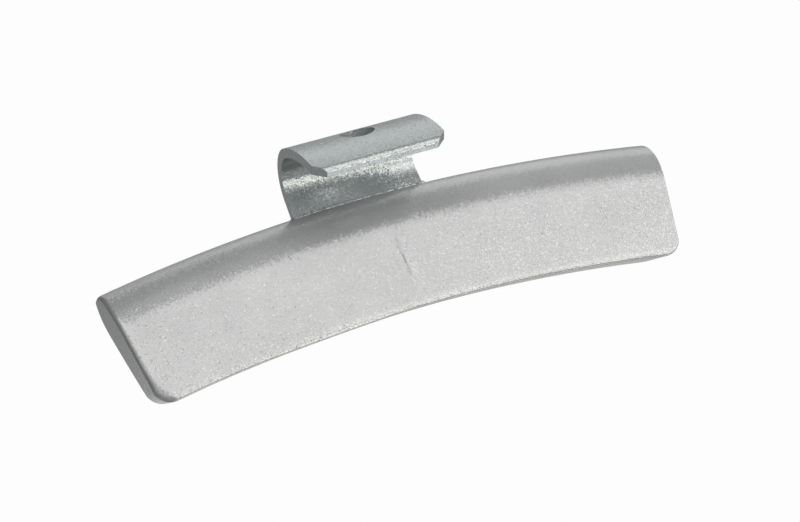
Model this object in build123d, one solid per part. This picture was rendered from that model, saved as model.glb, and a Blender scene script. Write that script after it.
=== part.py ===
from build123d import *
import os
from math import cos, radians, sin, tan

# A clip-on wheel balance weight: a curved zinc casting with a spring-steel clip cast into its top.
# Frame: the weight lies on its outer face. The origin is the middle of that face, +X runs along the weight,
# +Y points away from the wheel's centre, towards the clip, and +Z points out of the face that meets the rim.

# Weight, in millimetres and degrees
INNER_RADIUS = 200.0
WEIGHT_HEIGHT = 16.0
WEIGHT_THICKNESS = 6.0
WEIGHT_ARC_ANGLE = 19.46
CROWN_HEIGHT = 6.2
CROWN_DEPTH = 5.0
INNER_DRAFT = 12.5
END_DRAFT = 3.0
CORNER_RADIUS = 1.8
EDGE_RADIUS = 0.6

# Clip, bent from one strip
STRIP_THICKNESS = 1.2
CLIP_WIDTH = 17.0
CLIP_OFFSET = -1.65
CLIP_COVER = 1.0
SHANK_DEPTH = 9.0
ANCHOR_HOLE = 5.0
NECK_HEIGHT = 2.1
CURL_RADIUS = 3.75
CURL_ANGLE = 110.0
ARM_RADIUS = 15.5
ARM_ANGLE = 36.0
LIP_CORNER = 1.4
STRIP_EDGE = 0.15
TOOL_HOLE = 4.2
TOOL_HOLE_ANGLE = 9.4

# What counts as a sharp edge, and as the same length
SHARP_ANGLE = 20.0
LENGTH_TOLERANCE = 0.001

# Worked out from the sizes above
HALF_HEIGHT = WEIGHT_HEIGHT / 2
WHEEL_CENTRE_Y = -HALF_HEIGHT - INNER_RADIUS
WHEEL_AXIS = Axis((0, WHEEL_CENTRE_Y, 0), (0, 0, 1))
HALF_ARC_ANGLE = WEIGHT_ARC_ANGLE / 2
NECK_TOP = HALF_HEIGHT + NECK_HEIGHT
STRIP_INSIDE = CLIP_COVER + STRIP_THICKNESS
CURL_CENTRE = Vector(CLIP_OFFSET, NECK_TOP, STRIP_INSIDE + CURL_RADIUS)


def weight_section():
    """Radial section of the casting: flat rim face, quarter-elliptic crown, flat outer face, drafted inner edge."""
    crown_start = HALF_HEIGHT - CROWN_HEIGHT
    land = WEIGHT_THICKNESS - CROWN_DEPTH
    draft_shift = WEIGHT_THICKNESS * tan(radians(INNER_DRAFT))
    with BuildSketch(Plane.YZ) as section:
        with BuildLine():
            Line((-HALF_HEIGHT, WEIGHT_THICKNESS), (crown_start, WEIGHT_THICKNESS))
            EllipticalCenterArc((crown_start, land), CROWN_HEIGHT, CROWN_DEPTH, arc_size=90)
            Line((HALF_HEIGHT, land), (HALF_HEIGHT, 0))
            Line((HALF_HEIGHT, 0), (draft_shift - HALF_HEIGHT, 0))
            Line((draft_shift - HALF_HEIGHT, 0), (-HALF_HEIGHT, WEIGHT_THICKNESS))
        make_face()
    return section.sketch


def end_plane(side):
    """Plane of one end of the casting, leaning inwards from the rim face. side is -1 at the left, +1 at the right."""
    angle = radians(side * HALF_ARC_ANGLE)
    draft = radians(END_DRAFT)
    outward = Vector(side * cos(angle), -side * sin(angle), 0)
    on_rim_face = (INNER_RADIUS * sin(angle), WHEEL_CENTRE_Y + INNER_RADIUS * cos(angle), WEIGHT_THICKNESS)
    return Plane(on_rim_face, z_dir=outward * cos(draft) + Vector(0, 0, -sin(draft)))


def sharp_edges(solid):
    """Edges where two faces meet at more than the sharp angle, so the smooth joins are left out."""
    found = ShapeList()
    for edge in solid.edges():
        middle = edge @ 0.5
        normals = [face.normal_at(middle) for face in solid.faces() if edge in face.edges()]
        if len(normals) == 2 and normals[0].get_angle(normals[1]) > SHARP_ANGLE:
            found.append(edge)
    return found


def cast_blank():
    """The casting before the clip's slot: the section swept along the rim, cut at both ends and rounded."""
    spare_arc = WEIGHT_ARC_ANGLE * 1.5
    swept = revolve(weight_section(), axis=WHEEL_AXIS, revolution_arc=spare_arc)
    blank = swept.rotate(WHEEL_AXIS, -spare_arc / 2)
    for side in (-1, 1):
        blank = split(blank, bisect_by=end_plane(side), keep=Keep.BOTTOM)
    short = blank.edges().filter_by(lambda e: e.length < 2 * WEIGHT_THICKNESS)
    inner_corners = short.sort_by(Axis.Y)[:2]
    blank = fillet(inner_corners, CORNER_RADIUS)
    return fillet(sharp_edges(blank), EDGE_RADIUS)


def strip_face(face_z, bend_growth):
    """One side of the strip's bent profile, from the end of the shank to the lip. Returns the wire's edges in order."""
    shank = Line((HALF_HEIGHT - SHANK_DEPTH, face_z), (NECK_TOP, face_z))
    curl = JernArc(shank @ 1, shank % 1, CURL_RADIUS + bend_growth, CURL_ANGLE)
    arm = JernArc(curl @ 1, curl % 1, ARM_RADIUS + bend_growth, ARM_ANGLE)
    return shank, curl, arm


def clip_profile():
    """Section of the bent strip: straight shank and neck, tight curl over the rim's edge, long curved arm."""
    with BuildSketch(Plane.YZ) as section:
        with BuildLine():
            inside = strip_face(STRIP_INSIDE, 0)
            outside = strip_face(CLIP_COVER, STRIP_THICKNESS)
            Line(inside[0] @ 0, outside[0] @ 0)
            Line(inside[-1] @ 1, outside[-1] @ 1)
        make_face()
    return section.sketch


def arm_normal(angle):
    """Direction out of the arm's convex side, at an angle measured along the arm from the end of the curl."""
    turn = radians(CURL_ANGLE + angle)
    return Vector(0, sin(turn), -cos(turn))


def tool_hole():
    """Cutter for the round hole in the arm, square to the strip, that takes the point of a removal tool."""
    arm_centre = CURL_CENTRE - arm_normal(0) * (ARM_RADIUS - CURL_RADIUS)
    out = arm_normal(TOOL_HOLE_ANGLE)
    place = Plane(arm_centre + out * (ARM_RADIUS + STRIP_THICKNESS / 2), x_dir=(1, 0, 0), z_dir=out)
    return place * Cylinder(TOOL_HOLE / 2, 2 * STRIP_THICKNESS)


def anchor_hole():
    """Cutter for the hole in the shank, which the zinc runs through and holds the clip by."""
    middle = (CLIP_OFFSET, HALF_HEIGHT - SHANK_DEPTH / 2, CLIP_COVER + STRIP_THICKNESS / 2)
    return Pos(middle) * Cylinder(ANCHOR_HOLE / 2, 2 * STRIP_THICKNESS)


def rim_clip():
    """The whole clip: the bent strip with its lip corners cut, its edges eased and its two holes punched."""
    strip = extrude(Pos(CLIP_OFFSET, 0, 0) * clip_profile(), CLIP_WIDTH / 2, both=True)
    across_strip = strip.edges().filter_by(lambda e: abs(e.length - STRIP_THICKNESS) < LENGTH_TOLERANCE)
    lip_corners = across_strip.sort_by(Axis.Z)[-2:]
    strip = chamfer(lip_corners, LIP_CORNER)
    shank_end = strip.faces().sort_by(Axis.Y)[0]
    eased = ShapeList(edge for edge in sharp_edges(strip) if edge not in shank_end.edges())
    strip = chamfer(eased, STRIP_EDGE)
    return strip - tool_hole() - anchor_hole()


def weight_body(clip):
    """The casting, closed round the clip's shank."""
    return cast_blank() - clip


def main():
    """Builds both pieces and writes one file for each."""
    clip = rim_clip()
    os.makedirs("parts", exist_ok=True)
    export_step(weight_body(clip), "parts/weight_body.step")
    export_step(clip, "parts/rim_clip.step")


main()
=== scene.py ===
"""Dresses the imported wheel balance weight: a lacquered zinc casting with a lacquered spring clip in it.

Lengths in the classes are millimetres and angles are degrees, as on a workshop drawing. Meshes are in
metres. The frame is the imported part's: the weight lies on its outer face, +X runs along it, +Y points to
the clip and +Z points out of the face that meets the wheel rim.
"""

import logging
import math
from dataclasses import dataclass, field
from enum import Enum
from typing import Any, NamedTuple

import bmesh
import bpy
import numpy as np
from mathutils import Matrix, Vector


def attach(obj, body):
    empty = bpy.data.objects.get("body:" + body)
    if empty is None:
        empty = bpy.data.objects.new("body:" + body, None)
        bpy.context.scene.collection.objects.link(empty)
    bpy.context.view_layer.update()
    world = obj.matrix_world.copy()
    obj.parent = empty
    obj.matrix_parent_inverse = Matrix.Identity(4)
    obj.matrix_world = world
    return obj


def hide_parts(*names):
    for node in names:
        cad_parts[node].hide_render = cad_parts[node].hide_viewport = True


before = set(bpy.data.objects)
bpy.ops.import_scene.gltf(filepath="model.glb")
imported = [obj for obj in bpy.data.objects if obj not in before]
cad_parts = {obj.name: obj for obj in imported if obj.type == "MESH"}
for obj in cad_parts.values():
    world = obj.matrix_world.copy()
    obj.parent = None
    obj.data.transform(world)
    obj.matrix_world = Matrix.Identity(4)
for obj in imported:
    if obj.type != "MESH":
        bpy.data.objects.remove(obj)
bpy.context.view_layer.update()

LOG = logging.getLogger("balance_weight")
MM = 0.001
BODY = "root"
IMAGE_WIDTH = 800
SEED = 9
MERGE_WITHIN = 0.002
NO_TURN = 1e-6
WHITE = "FFFFFF"
FAINTLY_WARM = "FFFCFB"
WARM = "FFFAF2"


def linear(code: str) -> tuple[float, float, float, float]:
    """Turns an sRGB hex colour to linear light.

    Args:
        code: Six hex digits.

    Returns:
        Red, green, blue and an alpha of one.
    """
    parts = [int(code[i : i + 2], 16) / 255 for i in (0, 2, 4)]
    light = [c / 12.92 if c <= 0.04045 else ((c + 0.055) / 1.055) ** 2.4 for c in parts]
    return light[0], light[1], light[2], 1.0


def add_node(
    tree: bpy.types.NodeTree,
    kind: str,
    settings: dict[str, Any] | None = None,
    inputs: dict[str | int, Any] | None = None,
) -> bpy.types.Node:
    """Adds a node, with its settings, and joins or sets its inputs.

    Args:
        tree: The node tree that takes it.
        kind: The node's Blender type name.
        settings: Attributes of the node.
        inputs: For each input, an output socket to link from, or the value to set.

    Returns:
        The new node.
    """
    node = tree.nodes.new(kind)
    for name, value in (settings or {}).items():
        setattr(node, name, value)
    for key, value in (inputs or {}).items():
        if isinstance(value, bpy.types.NodeSocket):
            tree.links.new(value, node.inputs[key])
        else:
            node.inputs[key].default_value = value
    return node


def unit(vectors: np.ndarray) -> np.ndarray:
    """Vectors along the last axis, each made one unit long."""
    return vectors / np.linalg.norm(vectors, axis=-1, keepdims=True)


def turn_between(start: np.ndarray, stop: np.ndarray, share: np.ndarray | float) -> np.ndarray:
    """Turns one direction evenly into another.

    Args:
        start: Unit vectors to turn from.
        stop: Unit vectors to turn to, or one for all.
        share: How far along the turn, 0 to 1.

    Returns:
        Unit vectors.
    """
    angle = np.arccos(np.clip(np.sum(start * stop, axis=-1, keepdims=True), -1.0, 1.0))
    whole = np.where(angle < NO_TURN, 1.0, np.sin(angle))
    near = np.where(angle < NO_TURN, 1.0 - share, np.sin((1.0 - share) * angle) / whole)
    far = np.where(angle < NO_TURN, share, np.sin(share * angle) / whole)
    return unit(near * start + far * stop)


def ease(share: np.ndarray) -> np.ndarray:
    """Goes smoothly from 0 to 1 as a share does, and stays level outside."""
    level = np.clip(share, 0.0, 1.0)
    return level * level * (3 - 2 * level)


def mesh_object(
    name: str, points: np.ndarray, faces: list[tuple[int, ...]], crease: float = 180.0
) -> bpy.types.Object:
    """Makes a smooth-shaded mesh object from points in millimetres, with doubled points merged.

    Args:
        name: The object's name.
        points: One row for each point.
        faces: Point numbers of each face.
        crease: Angle between faces, in degrees, from which their edge is shaded sharp.

    Returns:
        The object, linked to the scene.
    """
    mesh = bpy.data.meshes.new(name)
    mesh.from_pydata((points * MM).tolist(), [], faces)
    made = bmesh.new()
    made.from_mesh(mesh)
    bmesh.ops.remove_doubles(made, verts=made.verts, dist=MERGE_WITHIN * MM)
    bmesh.ops.recalc_face_normals(made, faces=made.faces)
    for face in made.faces:
        face.smooth = True
    for edge in made.edges:
        edge.smooth = edge.calc_face_angle(0.0) < math.radians(crease)
    made.to_mesh(mesh)
    made.free()
    made_object = bpy.data.objects.new(name, mesh)
    bpy.context.scene.collection.objects.link(made_object)
    return made_object


def bridge(ring: list[int], after: list[int]) -> list[tuple[int, ...]]:
    """Joins two closed rings of as many points.

    Args:
        ring: Point numbers round the first ring.
        after: Point numbers round the second ring.

    Returns:
        One face for each step round the rings.
    """
    steps = zip(ring, ring[1:] + ring[:1], after[1:] + after[:1], after)
    return [tuple(step) for step in steps]


@dataclass(frozen=True)
class FlakeLacquer:
    """Stoved silver lacquer: aluminium flakes that lie nearly flat in a clear resin.

    Flakes lying flat make the paint bright where it faces the light and darker where it turns away, and
    those that stand askew sparkle. Real flakes are about 0.03 mm, too fine to show, so they are drawn
    coarser. The sprayed resin dries with a faint orange peel, and its flakes gather in broad faint clouds.
    """

    name: str
    tint: str
    metallic: float
    roughness: float
    flake_tilt: float
    flake_size: float = 0.13
    flake_shade: float = 0.03
    peel_width: float = 0.9
    peel_depth: float = 0.006
    peel_detail: float = 2.0
    cloud_width: float = 7.0
    cloud_detail: float = 3.0
    cloud_from: float = 0.3
    cloud_to: float = 0.7
    cloud_shade: float = 0.05

    def material(self) -> bpy.types.Material:
        """Builds the lacquer's nodes.

        Returns:
            A material named for the lacquer.
        """
        made = bpy.data.materials.new(self.name)
        made.use_nodes = True
        tree = made.node_tree
        tree.nodes.clear()
        place = add_node(tree, "ShaderNodeTexCoord").outputs["Object"]
        surface = add_node(tree, "ShaderNodeNewGeometry").outputs["Normal"]
        # Each flake leans its own way, by an amount of its own
        cells = add_node(
            tree, "ShaderNodeTexVoronoi", inputs={"Vector": place, "Scale": 1 / (self.flake_size * MM)}
        ).outputs
        flake = cells["Color"]
        chance = add_node(
            tree, "ShaderNodeTexWhiteNoise", inputs={"Vector": cells["Position"]}
        ).outputs["Value"]
        spread = add_node(
            tree,
            "ShaderNodeVectorMath",
            {"operation": "MULTIPLY_ADD"},
            {0: flake, 1: (2 * self.flake_tilt,) * 3, 2: (-self.flake_tilt,) * 3},
        ).outputs[0]
        askew = add_node(
            tree, "ShaderNodeVectorMath", {"operation": "SCALE"}, {0: spread, "Scale": chance}
        ).outputs[0]
        leaning = add_node(
            tree, "ShaderNodeVectorMath", {"operation": "ADD"}, {0: surface, 1: askew}
        ).outputs[0]
        facing = add_node(tree, "ShaderNodeVectorMath", {"operation": "NORMALIZE"}, {0: leaning}).outputs[0]
        # Orange peel of the resin
        peel = add_node(
            tree,
            "ShaderNodeTexNoise",
            inputs={"Vector": place, "Scale": 1 / (self.peel_width * MM), "Detail": self.peel_detail},
        ).outputs["Fac"]
        skin = add_node(
            tree,
            "ShaderNodeBump",
            inputs={"Strength": 1.0, "Distance": self.peel_depth * MM, "Height": peel, "Normal": facing},
        ).outputs["Normal"]
        # Shade of single flakes, and of the clouds they gather in
        cloud = add_node(
            tree,
            "ShaderNodeTexNoise",
            inputs={"Vector": place, "Scale": 1 / (self.cloud_width * MM), "Detail": self.cloud_detail},
        ).outputs["Fac"]
        shade = add_node(tree, "ShaderNodeSeparateColor", inputs={0: flake}).outputs["Red"]
        grain = add_node(
            tree,
            "ShaderNodeMapRange",
            inputs={"Value": shade, "To Min": 1 - self.flake_shade, "To Max": 1 + self.flake_shade},
        ).outputs["Result"]
        patch = add_node(
            tree,
            "ShaderNodeMapRange",
            inputs={
                "Value": cloud,
                "From Min": self.cloud_from,
                "From Max": self.cloud_to,
                "To Min": 1 - self.cloud_shade,
                "To Max": 1 + self.cloud_shade,
            },
        ).outputs["Result"]
        both = add_node(tree, "ShaderNodeMath", {"operation": "MULTIPLY"}, {0: grain, 1: patch}).outputs[0]
        colour = add_node(
            tree,
            "ShaderNodeVectorMath",
            {"operation": "SCALE"},
            {0: linear(self.tint)[:3], "Scale": both},
        ).outputs[0]
        paint = add_node(
            tree,
            "ShaderNodeBsdfPrincipled",
            inputs={
                "Base Color": colour,
                "Metallic": self.metallic,
                "Roughness": self.roughness,
                "Normal": skin,
            },
        )
        add_node(tree, "ShaderNodeOutputMaterial", inputs={"Surface": paint.outputs["BSDF"]})
        return made


class Coat(Enum):
    """The two lacquers, one for each piece."""

    CASTING = FlakeLacquer(
        "silver_lacquer_on_zinc", tint="BABCBC", metallic=0.4, roughness=0.22, flake_tilt=0.125
    )
    CLIP = FlakeLacquer(
        "silver_lacquer_on_spring_steel", tint="B0B6B6", metallic=0.6, roughness=0.22, flake_tilt=0.165
    )


class End(Enum):
    """The casting's two ends, seen with the rim face towards the eye and the clip at the top."""

    LEFT = -1
    RIGHT = 1


class Station(NamedTuple):
    """One cut across the casting: its edge radius, and how far its surface has turned into the end face."""

    angle: float
    radius: float
    inset: float = 0.0
    corner_turn: float = 0.0
    roll: float = 0.0


class WornCorner(NamedTuple):
    """A corner of the rim face worn to a shallow slope, past a line through a point."""

    x: float
    y: float
    way: float
    slope: float
    soft: float


class SharpPlace(NamedTuple):
    """A stretch of the witness line where its step is sharp."""

    y: float
    reach: float
    strength: float


@dataclass
class WitnessLine:
    """Fine step that the die's joint leaves across the rim face: steep at the left, gentle at the right."""

    middle: float = -0.28
    lean: float = -0.03
    steep_width: float = 0.3
    worn_width: float = 1.6
    gentle_width: float = 1.0
    height: float = 0.1
    highest_at: float = -1.2
    fade: float = 3.4
    sharp: tuple[SharpPlace, ...] = (
        SharpPlace(y=0.8, reach=0.5, strength=1.0),
        SharpPlace(y=-1.8, reach=2.0, strength=1.0),
    )

    def relief(self, points: np.ndarray) -> np.ndarray:
        """Height of the step over each point.

        Args:
            points: One row for each point.

        Returns:
            One height for each point.
        """
        x, y = points[:, 0], points[:, 1]
        sharpness = sum(
            place.strength * np.exp(-(((y - place.y) / place.reach) ** 2)) for place in self.sharp
        )
        width = self.steep_width + (self.worn_width - self.steep_width) * np.clip(1 - sharpness, 0, 1)
        off = x - self.middle - self.lean * y
        steep = ease(off / width + 0.5)
        gentle = np.exp(-((np.clip(off, 0, None) / self.gentle_width) ** 2))
        return self.height * np.exp(-(((y - self.highest_at) / self.fade) ** 2)) * steep * gentle


@dataclass
class CastWeight:
    """The curved zinc casting: flat rim face, rolled crown, drafted inner edge and ends, rounded edges.

    Its inner edge falls a little at the rim face and is fuller along one stretch. Each end is a little
    twisted.
    """

    # Main form
    inner_radius: float = 200.0
    height: float = 16.0
    thickness: float = 6.0
    arc_angle: float = 19.46
    crown_height: float = 6.2
    crown_depth: float = 5.0
    inner_draft: float = 12.5
    end_draft: float = 3.0
    corner_radius: float = 2.15
    edge_radius: float = 0.35
    # Form of the two ends
    left_edge: float = 0.6
    right_edge: float = 0.18
    end_twist: float = 0.55
    twist_middle: float = -1.0
    nose_start: float = 3.5
    nose_radius: float = 17.0
    left_out: float = 0.1
    left_lean: float = 0.25
    # Marks of casting and wear
    fall_width: float = 1.1
    fall_depth: float = 0.1
    full_at: float = -12.0
    full_run: float = 9.0
    full_depth: float = 0.14
    full_focus: int = 4
    wave_depth: float = 0.02
    wave_count: int = 6
    slowest_wave: float = 0.5
    quickest_wave: float = 1.1
    witness: WitnessLine = field(default_factory=WitnessLine)
    worn: WornCorner = WornCorner(x=-33.2, y=-8.9, way=213.0, slope=0.28, soft=0.2)
    # Steps of the mesh
    face_steps: int = 48
    crown_steps: int = 64
    land_steps: int = 4
    back_steps: int = 24
    wall_steps: int = 10
    edge_steps: int = 8
    corner_steps: int = 12
    cap_shares: tuple[float, ...] = (0.97, 0.9, 0.8, 0.65, 0.5, 0.35, 0.2, 0.08)
    pitch: float = 0.4
    fine_pitch: float = 0.05
    fine_reach: float = 1.6

    @property
    def half_height(self) -> float:
        """Half the casting's height."""
        return self.height / 2

    @property
    def middle_radius(self) -> float:
        """Radius from the wheel's centre to half the casting's height."""
        return self.inner_radius + self.half_height

    @property
    def crown_start(self) -> float:
        """Where the rim face ends and the crown begins, from half the height."""
        return self.half_height - self.crown_height

    @property
    def land(self) -> float:
        """Height of the flat under the crown."""
        return self.thickness - self.crown_depth

    def crown_radial(self, up: np.ndarray) -> np.ndarray:
        """How far out the crown reaches at a height.

        Args:
            up: Heights over the outer face.

        Returns:
            Distances from half the casting's height.
        """
        share = np.clip((up - self.land) / self.crown_depth, 0.0, 1.0)
        return self.crown_start + self.crown_height * np.sqrt(1 - share * share)

    def _wall(self, cut: Station, up: np.ndarray) -> np.ndarray:
        """Radial place of the core of the inner edge at one cut and at given heights."""
        draft = math.radians(self.inner_draft)
        reach = self.corner_radius - cut.radius / math.cos(draft)
        foot = self.corner_radius - self.half_height - reach * math.cos(math.radians(cut.corner_turn))
        return foot + (self.thickness - up) * math.tan(draft)

    def _section(self, cut: Station) -> tuple[np.ndarray, np.ndarray, np.ndarray]:
        """Core points round the section, and the outward normals there.

        The core is the sharp casting drawn in by the edge radius. The surface is the core plus the radius
        times the normal.

        Args:
            cut: The cut. Its corner turn is 0 along the body, and 90 where the corner has become the end.

        Returns:
            Points as (radial, up), normals as (outward along the arc, radial, up), and how far each normal
            has already turned into the inner edge's.
        """
        r = cut.radius
        beta = math.radians(cut.corner_turn)
        top, side, bottom = np.eye(3)[2], np.eye(3)[1], -np.eye(3)[2]
        low, high = r, self.thickness - r
        rise = np.linspace(low, high, self.wall_steps)
        inner = np.array([0.0, -1.0, -math.tan(math.radians(self.inner_draft))])
        _, end = self._end_form(np.stack([self._wall(cut, rise), rise], axis=-1))
        wall = unit(math.cos(beta) * inner + math.sin(beta) * end)
        points: list[np.ndarray] = []
        normals: list[np.ndarray] = []
        turned: list[np.ndarray] = []

        def add(
            radial: np.ndarray | float,
            up: np.ndarray | float,
            normal: np.ndarray,
            share: np.ndarray | float = 0.0,
        ) -> None:
            """Adds a run of core points with their normals."""
            count = max(np.size(radial), np.size(up), len(np.atleast_2d(normal)))
            turned.append(np.broadcast_to(share, count))
            points.append(np.stack([np.broadcast_to(radial, count), np.broadcast_to(up, count)], axis=-1))
            normals.append(np.broadcast_to(normal, (count, 3)))

        between = np.linspace(0.0, 1.0, self.edge_steps + 1)[1:-1, None]
        add(np.linspace(self._wall(cut, high), self.crown_start, self.face_steps), high, top)
        roll = np.radians(np.linspace(0.0, 90.0, self.crown_steps + 1)[1:])
        out, over = np.sin(roll), np.cos(roll)
        crown = unit(np.stack([0 * roll, out / self.crown_height, over / self.crown_depth], axis=-1))
        add(
            self.crown_start + self.crown_height * out - r * crown[:, 1],
            self.land + self.crown_depth * over - r * crown[:, 2],
            crown,
        )
        add(self.half_height - r, np.linspace(self.land, low, self.land_steps)[1:], side)
        add(self.half_height - r, low, turn_between(side, bottom, between))
        add(np.linspace(self.half_height - r, self._wall(cut, low), self.back_steps), low, bottom)
        add(self._wall(cut, low), low, turn_between(bottom, wall[0], between), between[:, 0])
        add(self._wall(cut, rise), rise, wall, 1.0)
        add(self._wall(cut, high), high, turn_between(wall[-1], top, between), 1 - between[:, 0])
        return np.concatenate(points), np.concatenate(normals), np.concatenate(turned)

    def _stations(self) -> list[Station]:
        """Cuts from the left end to the right, close together at the witness line and round the ends.

        Returns:
            The cuts in order.
        """
        half = self.arc_angle / 2
        per_mm = math.degrees(1 / self.middle_radius)
        reach = half / per_mm - self.corner_radius - self.pitch
        wide = np.arange(self.fine_reach, reach, self.pitch)
        fine = np.arange(-self.fine_reach + self.fine_pitch, self.fine_reach, self.fine_pitch)
        along = np.concatenate([-wide[::-1], fine, wide]) * per_mm
        turns = np.linspace(0.0, 90.0, self.corner_steps + 1)
        gone = np.sin(np.radians(turns))
        rolls = np.linspace(0.0, 1.0, self.edge_steps + 1)[1:]
        ends: dict[End, list[Station]] = {}
        for end, radius in ((End.LEFT, self.left_edge), (End.RIGHT, self.right_edge)):
            radii = self.edge_radius + (radius - self.edge_radius) * gone
            insets = self.corner_radius - (self.corner_radius - radii) * gone
            ends[end] = [Station(end.value * half, *row) for row in zip(radii, insets, turns)]
            ends[end] += [ends[end][-1]._replace(roll=roll) for roll in rolls]
        body = [Station(angle, self.edge_radius) for angle in along]
        return ends[End.LEFT][::-1] + body + ends[End.RIGHT]

    def _end_form(self, core: np.ndarray) -> tuple[np.ndarray, np.ndarray]:
        """Form of an end face: its draft grows towards the inner edge, and its nose rolls in over the crown.

        Args:
            core: Points as (radial, up).

        Returns:
            How far the end lies behind its nominal plane at each point, and its normals there.
        """
        radial, below = core[:, 0], self.thickness - core[:, 1]
        slope = np.tan(np.radians(self.end_draft - self.end_twist * (radial - self.twist_middle)))
        nose = np.clip(radial - self.nose_start, 0.0, None)
        turn = nose / self.nose_radius - below * math.radians(self.end_twist)
        normals = unit(np.stack([np.ones_like(radial), turn, -slope], axis=-1))
        return below * slope + nose * nose / (2 * self.nose_radius), normals

    def _cut(self, cut: Station, shrink: float = 1.0) -> tuple[np.ndarray, np.ndarray]:
        """Surface points and normals round one cut, in the part's frame.

        Args:
            cut: The cut.
            shrink: Size of the cut's outline; under 1, the points lie within the end face.

        Returns:
            Points and unit normals.
        """
        core, normals, turned = self._section(cut)
        middle = core.mean(axis=0)
        core = middle + shrink * (core - middle)
        side = End.LEFT.value if cut.angle < 0 else End.RIGHT.value
        angle = math.radians(cut.angle)
        axes = np.array(
            [
                [side * math.cos(angle), -side * math.sin(angle), 0.0],
                [math.sin(angle), math.cos(angle), 0.0],
                [0.0, 0.0, 1.0],
            ]
        )
        share = abs(cut.angle) / (self.arc_angle / 2)
        drawn, end = self._end_form(core)
        if side == End.LEFT.value:
            drawn = drawn + self.left_lean * (core[:, 0] / self.height + 0.5) ** 2 - self.left_out
        local = np.stack([-cut.inset - share * drawn, self.middle_radius + core[:, 0], core[:, 1]], axis=-1)
        if cut.roll > 0:
            to_go = np.maximum(1 - turned, NO_TURN)
            further = np.where(turned < 1, np.clip((cut.roll - turned) / to_go, 0.0, 1.0), 1.0)
            normals = turn_between(normals, end, further[:, None])
        points = (local + cut.radius * normals) @ axes
        points[:, 1] -= self.middle_radius
        return points, normals @ axes

    def _relief(self, points: np.ndarray, normals: np.ndarray) -> np.ndarray:
        """Height to add along each normal.

        It sums the slow waves of a casting, the witness line, the fall at the inner edge, the fuller
        stretch of that edge, and the worn corner.

        Args:
            points: Surface points.
            normals: Their normals.

        Returns:
            One height for each point.
        """
        draws = np.random.default_rng(SEED)
        waves = np.zeros(len(points))
        for _ in range(self.wave_count):
            way = unit(draws.normal(size=3))
            pace = draws.uniform(self.slowest_wave, self.quickest_wave)
            start = draws.uniform(0, 2 * math.pi)
            waves += np.sin(points @ way * pace + start) / self.wave_count
        height = self.wave_depth * (waves - 1) / 2
        facing = np.clip(normals[:, 2], 0, 1)
        height += self.witness.relief(points) * facing
        radial = np.hypot(points[:, 0], points[:, 1] + self.middle_radius) - self.inner_radius
        height -= self.fall_depth * np.clip(1 - radial / self.fall_width, 0, 1) ** 2 * facing
        full = np.exp(-(((points[:, 0] - self.full_at) / self.full_run) ** 2))
        height += self.full_depth * full * np.clip(-normals[:, 1], 0, 1) ** self.full_focus
        worn = self.worn
        slant = math.radians(worn.way)
        past = (points[:, 0] - worn.x) * math.cos(slant) + (points[:, 1] - worn.y) * math.sin(slant)
        height -= worn.slope * worn.soft * np.logaddexp(0, past / worn.soft) * facing
        return height

    def build(self) -> bpy.types.Object:
        """Builds the casting's mesh.

        Returns:
            The casting, in place.
        """
        stations = self._stations()
        cuts = [self._cut(cut) for cut in stations]
        count = len(cuts[0][0])
        points = np.concatenate([cut[0] for cut in cuts])
        normals = np.concatenate([cut[1] for cut in cuts])
        points += self._relief(points, normals)[:, None] * normals
        rings = np.arange(len(points)).reshape(-1, count).tolist()
        faces: list[tuple[int, ...]] = []
        for ring, after in zip(rings[:-1], rings[1:]):
            faces += bridge(ring, after)
        for last, ring in ((stations[0], rings[0]), (stations[-1], rings[-1])):
            points, faces = self._close_end(last, points, faces, ring)
        return mesh_object("zinc_casting", points, faces)

    def _close_end(
        self, last: Station, points: np.ndarray, faces: list[tuple[int, ...]], ring: list[int]
    ) -> tuple[np.ndarray, list[tuple[int, ...]]]:
        """Closes one end with rings that shrink to its middle and lie on the end's form.

        Args:
            last: The last cut at that end.
            points: All points so far.
            faces: All faces so far.
            ring: Numbers of the points round the end.

        Returns:
            Points and faces with the end closed.
        """
        for share in self.cap_shares:
            fresh = list(range(len(points), len(points) + len(ring)))
            inner, normals = self._cut(last, share)
            points = np.concatenate([points, inner + self._relief(inner, normals)[:, None] * normals])
            faces += bridge(ring, fresh)
            ring = fresh
        faces.append(tuple(ring))
        return points, faces


class Hole(NamedTuple):
    """A round hole in the flat strip."""

    along: float
    radius: float


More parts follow.
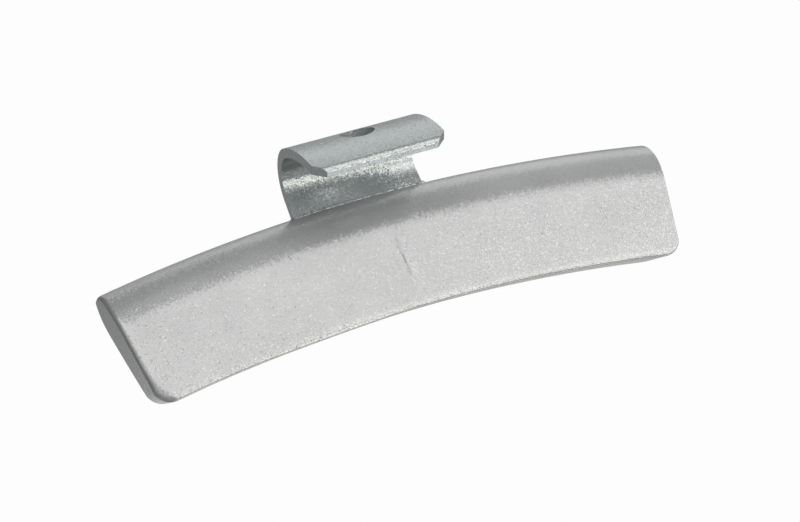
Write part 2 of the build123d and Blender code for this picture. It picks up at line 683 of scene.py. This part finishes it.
@dataclass
class SpringClip:
    """The clip, bent from one steel strip: shank, neck, curl over the rim's edge, and arm with a tool hole.

    Just above the casting the strip is set back and a little skewed. Its lip has a rounded band between a
    crease and the end face.
    """

    weight: CastWeight
    # Main form
    strip_thickness: float = 1.2
    width: float = 17.0
    offset: float = -1.65
    cover: float = 1.0
    shank_depth: float = 9.0
    anchor_hole: float = 5.0
    neck_height: float = 2.1
    curl_radius: float = 3.75
    curl_angle: float = 110.0
    arm_radius: float = 15.5
    arm_angle: float = 36.0
    lip_corner: float = 1.4
    tool_hole: float = 4.2
    tool_hole_angle: float = 9.4
    # Marks of bending and shearing
    set_back: float = 0.15
    set_back_start: float = 0.6
    set_back_run: float = 4.5
    set_back_skew: float = 0.25
    lip_ease: float = 0.03
    lip_round: float = 0.95
    lip_crease: float = 18.0
    lip_turn: float = 64.0
    cut_round: float = 0.06
    edge_round: float = 0.12
    edge_from: float = 40.0
    sharp_from: float = 12.0
    # Steps of the mesh
    patch: float = 3.4
    pitch: float = 0.42
    rings: int = 5
    edge_steps: int = 3
    lip_lines: tuple[float, ...] = (1.06, 1.0, 0.95, 0.7, 0.4, 0.2, 0.08, 0.0)
    side_lines: tuple[float, ...] = (0.7, 0.4, 0.2, 0.08, 0.0)

    @property
    def straight(self) -> float:
        """Length of the shank and neck."""
        return self.shank_depth + self.neck_height

    @property
    def curl_middle(self) -> float:
        """Radius of the curl's middle surface."""
        return self.curl_radius + self.strip_thickness / 2

    @property
    def arm_middle(self) -> float:
        """Radius of the arm's middle surface."""
        return self.arm_radius + self.strip_thickness / 2

    @property
    def curl_end(self) -> float:
        """Length along the strip to the end of the curl."""
        return self.straight + math.radians(self.curl_angle) * self.curl_middle

    @property
    def lip(self) -> float:
        """Length along the strip to the lip."""
        return self.curl_end + math.radians(self.arm_angle) * self.arm_middle - self.lip_ease

    @property
    def lip_share(self) -> float:
        """Width of the rounded band at the lip, as a share of its radius."""
        return math.sin(math.radians(self.lip_turn)) - math.sin(math.radians(self.lip_crease))

    def _bend(self, flat: np.ndarray) -> tuple[np.ndarray, np.ndarray]:
        """Carries the flat strip on to its bent middle surface.

        Args:
            flat: Points as (across, along).

        Returns:
            Points in the part's frame, and the normals on the convex side.
        """
        across, along = flat[:, 0], flat[:, 1]
        whole_curl = math.radians(self.curl_angle)
        in_curl = np.clip((along - self.straight) / self.curl_middle, 0.0, whole_curl)
        in_arm = np.clip((along - self.curl_end) / self.arm_middle, 0.0, None)
        turn = in_curl + in_arm
        neck_top = self.weight.half_height + self.neck_height
        curl_up = self.cover + self.strip_thickness + self.curl_radius
        gap = self.arm_middle - self.curl_middle
        radius = np.where(in_arm > 0, self.arm_middle, self.curl_middle)
        shift = np.where(in_arm > 0, gap, 0.0)
        y = neck_top - shift * math.sin(whole_curl) + radius * np.sin(turn)
        z = curl_up + shift * math.cos(whole_curl) - radius * np.cos(turn)
        y += np.minimum(along - self.straight, 0.0)
        from_start = along - self.shank_depth + self.set_back_start
        rise = ease(from_start / (self.neck_height + self.set_back_start))
        depth = self.set_back + self.set_back_skew * across / (self.width / 2)
        z -= depth * rise * (1 - ease((along - self.straight) / self.set_back_run))
        normals = np.stack([np.zeros_like(turn), np.sin(turn), -np.cos(turn)], axis=-1)
        return np.stack([across + self.offset, y, z], axis=-1), normals

    def _holes(self) -> tuple[Hole, Hole]:
        """The anchor hole in the shank and the tool hole in the arm."""
        tool = self.curl_end + math.radians(self.tool_hole_angle) * self.arm_middle
        return Hole(self.shank_depth / 2, self.anchor_hole / 2), Hole(tool, self.tool_hole / 2)

    def _lines(self, stops: list[float]) -> np.ndarray:
        """Grid lines through every stop, about one pitch apart."""
        runs = []
        for start, stop in zip(stops[:-1], stops[1:]):
            count = max(2, round((stop - start) / self.pitch))
            runs.append(np.linspace(start, stop, count + 1)[:-1])
        return np.append(np.concatenate(runs), stops[-1])

    def _flat_strip(self) -> tuple[np.ndarray, list[tuple[int, ...]]]:
        """The flat strip as a grid, with a ring of faces round each hole and its lip corners cut.

        Returns:
            Points as (across, along), and faces.
        """
        half = self.width / 2
        holes = self._holes()
        stops = [0.0]
        for hole in holes:
            stops += [hole.along - self.patch, hole.along + self.patch]
        stops += [self.lip - self.lip_corner]
        band = self.lip_round * self.lip_share
        stops += [self.lip - band * share for share in self.lip_lines]
        edges = [half - band * share for share in self.side_lines]
        columns = self._lines([-edge for edge in reversed(edges)] + [-self.patch, self.patch] + edges)
        rows = self._lines(stops)
        wide, long = len(columns), len(rows)
        grid = np.stack(np.meshgrid(columns, rows), axis=-1).reshape(-1, 2)
        points = [grid]
        total = len(grid)
        faces: list[tuple[int, ...]] = []
        inside = np.zeros((long - 1, wide - 1), dtype=bool)
        left, right = (int(np.argmin(abs(columns - edge))) for edge in (-self.patch, self.patch))
        for hole in holes:
            low, high = (int(np.argmin(abs(rows - hole.along - edge))) for edge in (-self.patch, self.patch))
            inside[low:high, left:right] = True
            ring = [low * wide + c for c in range(left, right)]
            ring += [r * wide + right for r in range(low, high)]
            ring += [high * wide + c for c in range(right, left, -1)]
            ring += [r * wide + left for r in range(high, low, -1)]
            outer = grid[ring] - (0.0, hole.along)
            rim = unit(outer) * hole.radius
            for share in np.linspace(0.0, 1.0, self.rings + 1)[1:]:
                points.append(outer + share * (rim - outer) + (0.0, hole.along))
                fresh = list(range(total, total + len(ring)))
                total += len(ring)
                faces += bridge(ring, fresh)
                ring = fresh
        for r, c in zip(*np.nonzero(~inside)):
            start = int(r) * wide + int(c)
            faces.append((start, start + 1, start + 1 + wide, start + wide))
        flat = np.concatenate(points)
        cut = np.clip(flat[:, 1] - (self.lip - self.lip_corner), 0.0, None)
        flat[:, 0] *= 1 - cut / half
        return flat, faces

    def build(self) -> bpy.types.Object:
        """Builds the clip's mesh with its sheared edges rounded.

        Returns:
            The clip, in place.
        """
        flat, sheet = self._flat_strip()
        middle, normals = self._bend(flat)
        half = self.strip_thickness / 2
        to_lip = self.lip - flat[:, 1]
        to_cut = (self.width / 2 - abs(flat[:, 0]) + to_lip - self.lip_corner) / math.sqrt(2)
        drop = np.zeros(len(flat))
        crease = math.radians(self.lip_crease)
        for radius, inward in ((self.lip_round, to_lip), (self.cut_round, to_cut)):
            past = np.clip(radius * self.lip_share - inward, 0.0, radius * self.lip_share)
            level = np.sqrt(radius**2 - (past + radius * math.sin(crease)) ** 2)
            drop = np.maximum(drop, radius * math.cos(crease) - level)
        outside = middle + normals * (half - drop)[:, None]
        inside = middle - normals * half
        count = len(flat)
        faces = list(sheet)
        faces += [tuple(count + corner for corner in reversed(face)) for face in sheet]
        sides: dict[tuple[int, int], int] = {}
        for face in sheet:
            for a, b in zip(face, face[1:] + face[:1]):
                sides[(a, b)] = sides.get((a, b), 0) + 1
        faces += [(b, a, count + a, count + b) for a, b in sides if (b, a) not in sides]
        clip = mesh_object("spring_clip", np.concatenate([outside, inside]), faces, self.sharp_from)
        bevel = clip.modifiers.new("eased_edges", "BEVEL")
        bevel.width = self.edge_round * MM
        bevel.segments = self.edge_steps
        bevel.limit_method = "ANGLE"
        bevel.angle_limit = math.radians(self.edge_from)
        return settle(clip)


def settle(piece: bpy.types.Object) -> bpy.types.Object:
    """Turns a piece's modifiers into mesh, so that its mesh is the one shown.

    Args:
        piece: The object.

    Returns:
        The same object.
    """
    evaluated = piece.evaluated_get(bpy.context.evaluated_depsgraph_get())
    mesh = bpy.data.meshes.new_from_object(evaluated)
    piece.modifiers.clear()
    piece.data = mesh
    return piece


class Knot(NamedTuple):
    """A place where the bead is thicker."""

    x: float
    extra: float
    width: float


@dataclass
class SeamBead:
    """The fine lip of zinc and lacquer that stands round the strip where it leaves the casting."""

    weight: CastWeight
    clip: SpringClip
    radius: float = 0.16
    stand_off: float = 0.06
    slope: float = 0.3
    lumps: float = 0.4
    lump_run: int = 4
    knots: tuple[Knot, ...] = (
        Knot(x=0.0, extra=0.05, width=0.4),
        Knot(x=6.85, extra=0.09, width=0.35),
    )
    pitch: float = 0.14
    sides: int = 10

    def mesh(self) -> tuple[np.ndarray, list[tuple[int, ...]]]:
        """Builds the bead as a closed ring, half sunk in the crown.

        Returns:
            Points and faces.
        """
        half = self.clip.width / 2 + self.stand_off
        low = self.clip.cover - self.stand_off
        high = self.clip.cover + self.clip.strip_thickness + self.stand_off
        corners = np.array([[-half, low], [half, low], [half, high], [-half, high]])
        path: list[np.ndarray] = []
        for start, stop in zip(corners, np.roll(corners, -1, axis=0)):
            count = max(2, round(float(np.linalg.norm(stop - start)) / self.pitch))
            path.append(start + np.linspace(0, 1, count + 1)[:-1, None] * (stop - start))
        line = np.concatenate(path)
        x = line[:, 0] + self.clip.offset
        out = self.weight.middle_radius + self.weight.crown_radial(line[:, 1])
        centre = np.stack([x, np.sqrt(out**2 - x**2) - self.weight.middle_radius, line[:, 1]], axis=-1)
        tangent = unit(np.roll(centre, -1, axis=0) - np.roll(centre, 1, axis=0))
        outward = unit(np.stack([np.zeros_like(x), np.ones_like(x), np.full_like(x, self.slope)], axis=-1))
        sideways = unit(np.cross(tangent, outward))
        outward = np.cross(sideways, tangent)
        draws = np.random.default_rng(SEED)
        bumps = np.tile(draws.normal(size=len(x)), 3)
        rough = np.convolve(bumps, np.ones(self.lump_run) / self.lump_run, "same")[len(x) : 2 * len(x)]
        thick = self.radius * (1 + self.lumps * rough)
        on_face_side = line[:, 1] > (low + high) / 2
        for knot in self.knots:
            thick += knot.extra * np.exp(-(((x - knot.x) / knot.width) ** 2)) * on_face_side
        turn = np.linspace(0, 2 * math.pi, self.sides, endpoint=False)[None, :, None]
        spokes = np.cos(turn) * outward[:, None] + np.sin(turn) * sideways[:, None]
        points = (centre[:, None] + thick[:, None, None] * spokes).reshape(-1, 3)
        rings = np.arange(len(points)).reshape(-1, self.sides).tolist()
        faces: list[tuple[int, ...]] = []
        for ring, after in zip(rings, rings[1:] + rings[:1]):
            faces += bridge(ring, after)
        return points, faces


@dataclass
class BalanceWeight:
    """The whole weight: casting, clip and the seam between them."""

    casting: CastWeight = field(default_factory=CastWeight)
    clip: SpringClip = field(init=False)
    bead: SeamBead = field(init=False)

    def __post_init__(self) -> None:
        """Fits the clip and the bead to the casting."""
        self.clip = SpringClip(self.casting)
        self.bead = SeamBead(self.casting, self.clip)

    def build(self) -> list[bpy.types.Object]:
        """Builds both pieces, with the bead as part of the casting.

        Returns:
            The casting and the clip.
        """
        casting = self.casting.build()
        bead = mesh_object("seam_bead", *self.bead.mesh())
        joined = bmesh.new()
        joined.from_mesh(casting.data)
        joined.from_mesh(bead.data)
        joined.to_mesh(casting.data)
        joined.free()
        bpy.data.objects.remove(bead)
        return [casting, self.clip.build()]

    def dress(self, casting: bpy.types.Object, clip: bpy.types.Object) -> None:
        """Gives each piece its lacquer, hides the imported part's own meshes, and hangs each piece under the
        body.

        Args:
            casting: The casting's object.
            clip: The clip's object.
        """
        casting.data.materials.append(Coat.CASTING.value.material())
        clip.data.materials.append(Coat.CLIP.value.material())
        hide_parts("weight_body")
        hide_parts("rim_clip")
        for piece in (casting, clip):
            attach(piece, BODY)


@dataclass(frozen=True)
class Glow:
    """A soft patch of light round the part, such as a diffuser, a pale wall or the lit table.

    It is full up to one angle from its middle, and ends at another.
    """

    name: str
    azimuth: float
    elevation: float
    full_to: float
    ends_at: float
    strength: float
    tint: str = WHITE

    def add(self, tree: bpy.types.NodeTree, way: bpy.types.NodeSocket) -> bpy.types.NodeSocket:
        """Adds the patch to the room's nodes.

        Args:
            tree: The room's node tree.
            way: The direction looked in.

        Returns:
            The patch's light in that direction.
        """
        towards = add_node(
            tree,
            "ShaderNodeVectorMath",
            {"operation": "DOT_PRODUCT", "label": self.name},
            {0: way, 1: direction(self.azimuth, self.elevation)},
        ).outputs["Value"]
        level = add_node(
            tree,
            "ShaderNodeMapRange",
            {"interpolation_type": "SMOOTHSTEP"},
            {
                "Value": towards,
                "From Min": math.cos(math.radians(self.ends_at)),
                "From Max": math.cos(math.radians(self.full_to)),
                "To Max": self.strength,
            },
        ).outputs["Result"]
        return add_node(
            tree, "ShaderNodeVectorMath", {"operation": "SCALE"}, {0: linear(self.tint)[:3], "Scale": level}
        ).outputs[0]


def direction(azimuth: float, elevation: float) -> Vector:
    """Way from the part to a place round it.

    Args:
        azimuth: 0 in front of the part and 90 at its right, in degrees.
        elevation: Angle over the floor, in degrees.

    Returns:
        A unit vector.
    """
    a, e = math.radians(azimuth), math.radians(elevation)
    return Vector((math.sin(a) * math.cos(e), -math.cos(a) * math.cos(e), math.sin(e)))


@dataclass
class Studio:
    """White sweep and the soft light of the room that the paint reflects."""

    # Floor and wall, as shares of the radius
    floor_radius: float = 3000.0
    middle_share: float = 0.2
    flat_share: float = 0.75
    bend_share: float = 0.25
    roof_share: float = 0.5
    floor_sides: int = 64
    bend_steps: int = 24
    paper: str = "FDFDFD"
    # Light of the room, each glow with azimuth, elevation, full to, ends at, strength and tint
    even_light: float = 0.112
    glows: tuple[Glow, ...] = (
        Glow("overhead_diffuser", 123.0, 65.5, 9.0, 21.0, 1.53, FAINTLY_WARM),
        Glow("overhead_diffuser_front", 70.0, 69.0, 5.0, 16.0, 1.32, WARM),
        Glow("side_lamp", 84.0, 48.0, 11.0, 21.0, 2.2),
        Glow("front_softbox_top", 44.0, 59.0, 5.0, 11.0, 0.83, WARM),
        Glow("front_softbox_middle", 35.0, 51.0, 5.0, 11.0, 2.92, WARM),
        Glow("front_softbox_foot", 27.0, 41.0, 5.0, 11.0, 2.4, WARM),
        Glow("left_wall", -110.0, 60.0, 0.0, 40.0, 0.65),
        Glow("back_lamp", -169.0, 64.0, 10.0, 18.0, 1.67),
        Glow("low_back_lamp", 180.0, 45.0, 10.0, 18.0, 0.5),
        Glow("window", 99.0, 28.5, 10.0, 18.0, 1.4),
        Glow("low_window", 111.0, 11.0, 10.0, 18.0, 1.6),
        Glow("far_wall", 137.0, 12.0, 0.0, 42.0, 0.36),
        Glow("front_wall", 21.0, 14.0, 10.0, 18.0, 0.55),
        Glow("table_behind", 156.0, -12.0, 6.0, 24.0, 0.74),
        Glow("table_far_behind", 164.0, -35.0, 6.0, 27.0, 0.4),
        Glow("table_at_left", -48.0, -19.0, 5.0, 20.0, 0.55),
        Glow("table_at_right", 46.0, -15.0, 0.0, 40.0, 1.0),
        Glow("table_under_right", 105.0, -70.0, 6.0, 30.0, 0.55),
        Glow("table_in_front", 18.0, -13.5, 10.0, 18.0, 1.0),
        Glow("table_below", -79.0, -68.0, 0.0, 40.0, 0.34),
    )

    def _floor(self) -> None:
        """The floor and the wall that curves up from it.

        Matt white paper under so much light that it shows neither grain nor shade, only an even white.
        """
        flat, bend = self.flat_share, self.bend_share
        turns = np.linspace(0, 2 * math.pi, self.floor_sides, endpoint=False)
        rises = np.radians(np.linspace(-90, 90, self.bend_steps + 1)[:-1])
        rings = [(self.middle_share, 0.0), (flat, 0.0)]
        rings += [(flat + bend * math.cos(rise), bend + bend * math.sin(rise)) for rise in rises]
        rings += [(self.roof_share, 2 * bend), (self.middle_share, 2 * bend)]
        points = np.array([[r * math.cos(t), r * math.sin(t), z] for r, z in rings for t in turns])
        points *= self.floor_radius
        rows = np.arange(len(points)).reshape(len(rings), -1).tolist()
        faces: list[tuple[int, ...]] = [tuple(rows[0])]
        for row, after in zip(rows[:-1], rows[1:]):
            faces += bridge(row, after)
        faces.append(tuple(rows[-1]))
        sweep = mesh_object("studio_sweep", points, faces)
        white = bpy.data.materials.new("lit_white_paper")
        white.use_nodes = True
        white.node_tree.nodes.clear()
        glow = add_node(
            white.node_tree, "ShaderNodeEmission", inputs={"Color": linear(self.paper), "Strength": 1.0}
        )
        add_node(white.node_tree, "ShaderNodeOutputMaterial", inputs={"Surface": glow.outputs[0]})
        sweep.data.materials.append(white)
        for ray in ("diffuse", "glossy", "transmission", "shadow", "volume_scatter"):
            setattr(sweep, f"visible_{ray}", False)

    def _room(self) -> None:
        """The room's light: an even level, with each glow on top."""
        world = bpy.data.worlds.new("room")
        bpy.context.scene.world = world
        world.use_nodes = True
        tree = world.node_tree
        tree.nodes.clear()
        way = add_node(tree, "ShaderNodeTexCoord").outputs["Generated"]
        light: bpy.types.NodeSocket | tuple[float, ...] = (self.even_light,) * 3
        for glow in self.glows:
            patch = glow.add(tree, way)
            light = add_node(
                tree, "ShaderNodeVectorMath", {"operation": "ADD"}, {0: light, 1: patch}
            ).outputs[0]
        room = add_node(tree, "ShaderNodeBackground", inputs={"Color": light, "Strength": 1.0})
        add_node(tree, "ShaderNodeOutputWorld", inputs={"Surface": room.outputs[0]})

    def build(self) -> None:
        """Builds the sweep and the room."""
        self._floor()
        self._room()
        bpy.context.scene.view_settings.view_transform = "Standard"


@dataclass(frozen=True)
class PictureCamera:
    """The camera at the photograph's place, looking down on the rim face from the left."""

    azimuth: float = -55.231
    elevation: float = 66.105
    roll: float = -36.842
    distance: float = 311.17
    target: tuple[float, float, float] = (0.247, -1.166, 3.0)
    focal_pixels: float = 2600.0
    sensor: float = 36.0
    nearest: float = 10.0
    farthest: float = 20000.0

    def build(self) -> None:
        """Places the camera and makes it the scene's."""
        lens = bpy.data.cameras.new("picture_camera")
        lens.sensor_width = self.sensor
        lens.lens = self.sensor * self.focal_pixels / IMAGE_WIDTH
        lens.clip_start = self.nearest * MM
        lens.clip_end = self.farthest * MM
        camera = bpy.data.objects.new("picture_camera", lens)
        back = direction(self.azimuth, self.elevation)
        a, roll = math.radians(self.azimuth), math.radians(self.roll)
        level = Vector((math.cos(a), math.sin(a), 0.0))
        upright = back.cross(level)
        right = math.cos(roll) * level - math.sin(roll) * upright
        up = math.cos(roll) * upright + math.sin(roll) * level
        turn = Matrix((right, up, back)).transposed()
        place = Vector(self.target) * MM + back * self.distance * MM
        camera.matrix_world = Matrix.Translation(place) @ turn.to_4x4()
        bpy.context.scene.collection.objects.link(camera)
        bpy.context.scene.camera = camera


def main() -> None:
    """Builds the weight, the studio and the camera."""
    logging.basicConfig(level=logging.INFO)
    weight = BalanceWeight()
    casting, clip = weight.build()
    weight.dress(casting, clip)
    for piece in (casting, clip):
        LOG.info("%s: %d faces", piece.name, len(piece.data.polygons))
    Studio().build()
    PictureCamera().build()


if __name__ == "__main__":
    main()
